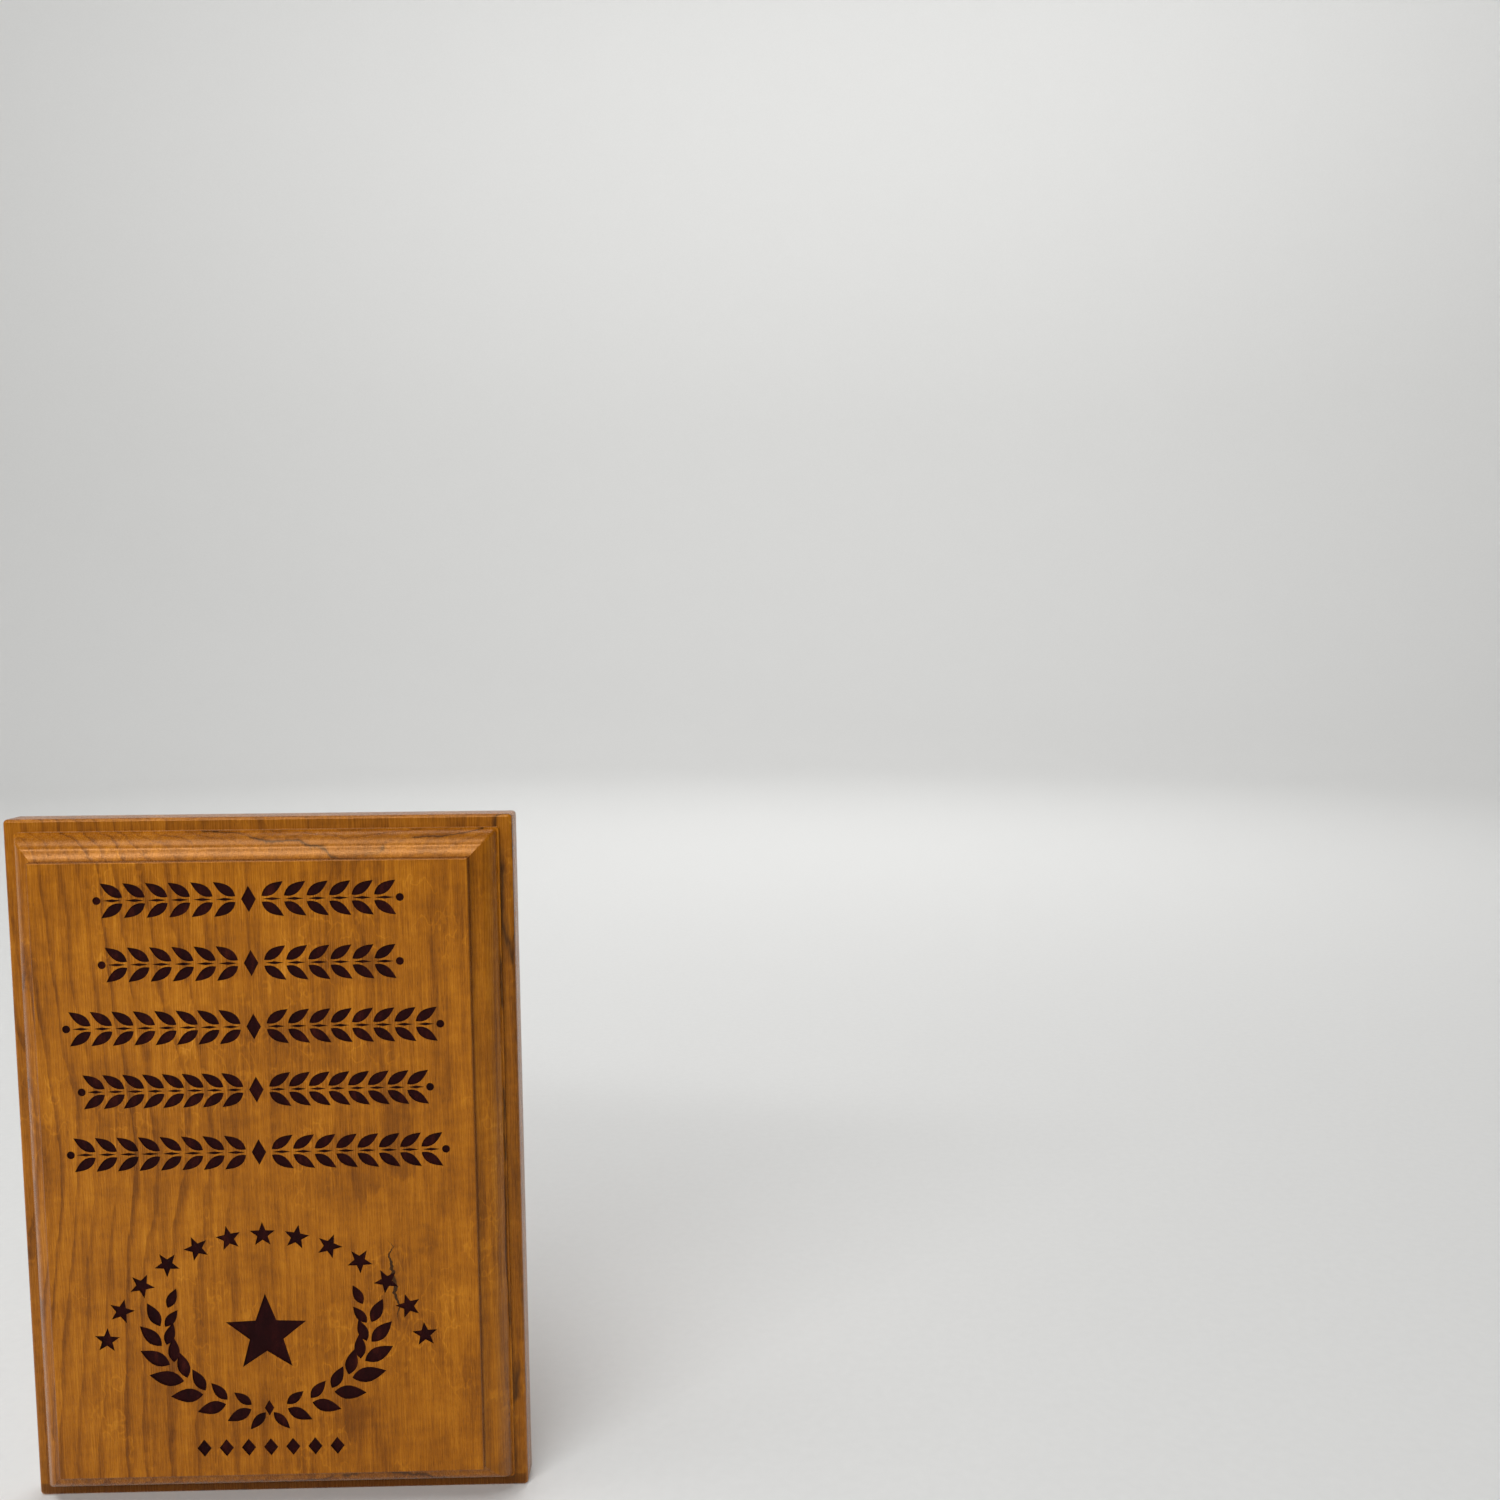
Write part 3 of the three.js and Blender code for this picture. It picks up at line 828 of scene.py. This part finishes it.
def hanger_punches():
    """The recess for the plate, the hollow for the wall screw's head and the two pilot holes."""
    bm = bmesh.new()
    upright_slot(bm, PLATE_RADIUS + PLATE_CLEARANCE, PLATE_LOW - PLATE_CLEARANCE,
                 PLATE_HIGH + PLATE_CLEARANCE, PLATE_THICKNESS + PLATE_CLEARANCE, -1.0)
    upright_slot(bm, HEAD_POCKET_RADIUS, ENTRY_Z - HEAD_POCKET_RADIUS, 0.5 + HEAD_POCKET_RADIUS, 8.0, 1.7)
    for z in SCREW_HEIGHTS:
        upright_slot(bm, PILOT_RADIUS, z - PILOT_RADIUS, z + PILOT_RADIUS, 9.75, 1.7)
    bmesh.ops.recalc_face_normals(bm, faces=bm.faces)
    return bm


cut_away(right_stave, hanger_punches(), RAW_CHERRY)

# %% [markdown]
# A Boolean leaves faces with very many corners, which shade well only if their edges are marked. Every
# edge that turns more than a gentle angle is kept crisp, and the rest blend, as sanded wood does.

# %% Shade the staves and hand them to the design
def hand_over(piece, slot, *nodes, crisp=28):
    """Shades a finished piece, hangs it on the root body and hides the design nodes it stands for."""
    piece.data.shade_smooth()
    piece.data.set_sharp_from_angle(angle=math.radians(crisp))
    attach(piece, "root")
    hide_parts(*nodes)


hand_over(left_stave, "cherry", "stave_left")
hand_over(right_stave, "cherry", "stave_right")
print("staves in place:", left_stave.name, right_stave.name)

# %% [markdown]
# ## Plated steel
# The keyhole plate is punched from zinc-plated strip. Its plating is bright but never even: faint rolling
# lines run along it, and cloudy patches vary its gloss. The screws wear a yellow passivated zinc.

# %% Zinc finishes
def zinc(name, dull, bright, seed):
    plating = Finish(name)
    place = plating.place_in_mm()
    rolling = plating.noise(plating.stretch(place, (0.12, 0.12, 6.0), seed), 3.0, 0.6)
    patch = plating.noise(plating.stretch(place, (2.4, 2.4, 2.4), seed + 2.0), 4.0, 0.65)
    tone = plating.total(patch, plating.swing(rolling, 0.35))
    colour = plating.ramp(tone, [(0.25, dull), (0.75, bright)])
    roughness = plating.total(0.24, plating.math("MULTIPLY", patch, 0.22))
    normal = plating.bump(plating.total(rolling, patch), 0.02, 0.35)
    return plating.finish(colour, roughness, normal, Metallic=1.0)


ZINC = zinc("zinc_plate", (0.44, 0.45, 0.46), (0.66, 0.67, 0.68), 3.0)
YELLOW_ZINC = zinc("yellow_zinc", (0.52, 0.40, 0.20), (0.74, 0.62, 0.38), 7.0)
print("steel finishes:", ZINC.name, YELLOW_ZINC.name)

# %% [markdown]
# ## Keyhole plate
# A round-ended blank is punched out, and the keyhole and the two screw seats are punched through it. The
# blank is cut with the same template method as the wood. A small bevel then stands for the rolled-over
# edge that a press leaves.

# %% Keyhole plate
def conical_seat(bm, z, wide, narrow, depth):
    """A screw seat that narrows from the back plane inwards."""
    bmesh.ops.create_cone(bm, cap_ends=True, segments=40, radius1=narrow * MM, radius2=(wide + 0.4) * MM,
                          depth=(depth + 0.4) * MM,
                          matrix=Matrix.Translation((0, (0.4 - depth) / 2 * MM, z * MM))
                          @ Matrix.Rotation(-math.pi / 2, 4, "X"))


def keyhole_plate():
    blank = bmesh.new()
    upright_slot(blank, PLATE_RADIUS, PLATE_LOW, PLATE_HIGH, PLATE_THICKNESS, 0.0)
    bmesh.ops.recalc_face_normals(blank, faces=blank.faces)
    plate = as_piece("pressed_keyhole_plate", blank, ZINC)
    for radius, low, high in ((SLOT_RADIUS, ENTRY_Z, SLOT_RADIUS),
                              (ENTRY_RADIUS, ENTRY_Z - ENTRY_RADIUS, ENTRY_Z + ENTRY_RADIUS)):
        punch = bmesh.new()
        upright_slot(punch, radius, low, high, 3.0, -1.0)
        bmesh.ops.recalc_face_normals(punch, faces=punch.faces)
        cut_away(plate, punch, ZINC)
    for z in SCREW_HEIGHTS:
        seat = bmesh.new()
        conical_seat(seat, z, SCREW_HEAD_RADIUS + 0.25, PILOT_RADIUS, 1.6)
        cut_away(plate, seat, ZINC)
    soften(plate, 0.18)
    return plate


def soften(piece, width_mm):
    """A narrow round bevel on every crisp edge."""
    step = piece.modifiers.new("soft_edge", "BEVEL")
    step.width = width_mm * MM
    step.segments = 2
    step.limit_method = "ANGLE"
    step.angle_limit = math.radians(40)
    step.use_clamp_overlap = True
    mesh = bpy.data.meshes.new_from_object(piece.evaluated_get(bpy.context.evaluated_depsgraph_get()))
    piece.modifiers.clear()
    piece.data = mesh


plate = keyhole_plate()
hand_over(plate, "plate_steel", "keyhole_plate", crisp=45)
print("plate faces:", len(plate.data.polygons))

# %% [markdown]
# ## Plate screws
# A screw is a turned shape, so half its outline is spun round its own axis. The cross recess is a tapered
# punch: a cross of four arms that narrows towards the bottom, as the real driver does.

# %% Plate screws
def spun(profile):
    """Spins (radius, distance behind the back plane) points round the Y axis."""
    bm = bmesh.new()
    line = [bm.verts.new((radius * MM, back * MM, 0.0)) for radius, back in profile]
    edges = [bm.edges.new(pair) for pair in zip(line, line[1:])]
    bmesh.ops.spin(bm, geom=line + edges, cent=(0, 0, 0), axis=(0, 1, 0), angle=2 * math.pi, steps=48,
                   use_merge=True)
    bmesh.ops.remove_doubles(bm, verts=bm.verts, dist=1e-6)
    bmesh.ops.recalc_face_normals(bm, faces=bm.faces)
    return bm


def cross_recess(z):
    """Two crossed wedges that narrow towards the bottom of the recess."""
    bm = bmesh.new()
    for turn in (0.0, math.pi / 2):
        wedge = bmesh.ops.create_cube(bm, size=1.0)["verts"]
        for v in wedge:
            span, width = (3.5, 0.85) if v.co.y > 0 else (3.5 * 0.5, 0.85 * 0.45)
            v.co = Vector((v.co.x * span, v.co.y * 1.6 - 0.55, v.co.z * width))
        bmesh.ops.rotate(bm, cent=(0, 0, 0), matrix=Matrix.Rotation(turn, 3, "Y"), verts=wedge)
        bmesh.ops.scale(bm, vec=(MM, MM, MM), verts=wedge)
        bmesh.ops.translate(bm, vec=(0, 0, z * MM), verts=wedge)
    bmesh.ops.recalc_face_normals(bm, faces=bm.faces)
    return bm


def screw_outline():
    """From the tip to the middle of the head: a point, a thread of sharp ridges, a shank and a head."""
    rows = [(0.0, -SCREW_LENGTH), (0.35, 0.6 - SCREW_LENGTH)]
    pitch, first, last = 0.75, -8.6, -2.6
    ridges = int((last - first) / pitch)
    for i in range(ridges):
        y = first + i * pitch
        body = 0.62 if i > 1 else 0.45 + 0.08 * i
        crest = min(1.3, 0.75 + 0.28 * i)
        rows += [(body, y), (crest, y + 0.30), (crest, y + 0.36), (body + 0.05, y + 0.62)]
    rows += [(0.95, -2.3), (1.0, -1.65), (2.78, -0.22), (SCREW_HEAD_RADIUS, -0.12)]
    rows += [(SCREW_HEAD_RADIUS - 0.04, -0.03), (SCREW_HEAD_RADIUS - 0.2, 0.0), (0.0, 0.0)]
    return rows


def plate_screw(name, node, z):
    bm = spun(screw_outline())
    bmesh.ops.translate(bm, vec=(0, 0, z * MM), verts=bm.verts)
    screw = as_piece(name, bm, YELLOW_ZINC)
    cut_away(screw, cross_recess(z), YELLOW_ZINC)
    hand_over(screw, "screw_steel", node, crisp=35)
    return screw


upper_screw = plate_screw("turned_screw_upper", "plate_screw_upper", SCREW_HEIGHTS[0])
lower_screw = plate_screw("turned_screw_lower", "plate_screw_lower", SCREW_HEIGHTS[1])
print("screw faces:", len(upper_screw.data.polygons), len(lower_screw.data.polygons))

# %% [markdown]
# ## Wall bumpers
# Four soft clear domes keep the plaque off the wall. Each is moulded, so its outline is one smooth curve
# with a thin lip at the foot. Light passes a little way into the rubber, so it is browner near the wood,
# and a faint haze and fine dust marks break up its gloss.

# %% Bumpers
def clear_rubber():
    rubber = Finish("clear_rubber")
    place = rubber.place_in_mm()
    haze = rubber.noise(rubber.stretch(place, (1.6, 1.6, 1.6), 5.0), 3.0)
    dust = rubber.band(rubber.noise(rubber.stretch(place, (0.18, 0.18, 0.18), 2.0), 1.0), 0.66, 0.74)
    _, stand_off, _ = separate(rubber, place)
    deep = rubber.band(stand_off, 0.0, 1.9)
    colour = rubber.ramp(haze, [(0.3, (0.50, 0.38, 0.26)), (0.7, (0.62, 0.50, 0.37))])
    colour = rubber.tint((0.30, 0.17, 0.07), colour, deep)
    roughness = rubber.total(0.10, rubber.math("MULTIPLY", haze, 0.10), rubber.math("MULTIPLY", dust, 0.3))
    normal = rubber.bump(haze, 0.05, 0.3)
    return rubber.finish(colour, roughness, normal, Transmission_Weight=0.35, IOR=1.46)


CLEAR_RUBBER = clear_rubber()


def bumper(name, node):
    radius, height, flat, lip, glue = 4.75, 2.0, 2.0, 0.5, 0.04
    turns = [math.radians(90 * i / 12) for i in range(13)]
    dome = [(flat + (radius - flat) * math.cos(a), lip + (height - lip) * math.sin(a)) for a in turns]
    foot = [(0.0, glue), (radius - 0.2, glue), (radius - 0.05, 0.1), (radius, 0.2)]
    bm = spun(foot + dome + [(0.8, height), (0.0, height)])
    place = (middle_of(node, "X") * MM, 0, middle_of(node, "Z") * MM)
    bmesh.ops.translate(bm, vec=place, verts=bm.verts)
    pad = as_piece(name, bm, CLEAR_RUBBER)
    hand_over(pad, "bumper_rubber", node, crisp=40)
    return pad


for row in ("top", "bottom"):
    for side in ("left", "right"):
        pad = bumper(f"moulded_bumper_{row}_{side}", f"bumper_{row}_{side}")
        print(pad.name, "faces:", len(pad.data.polygons))
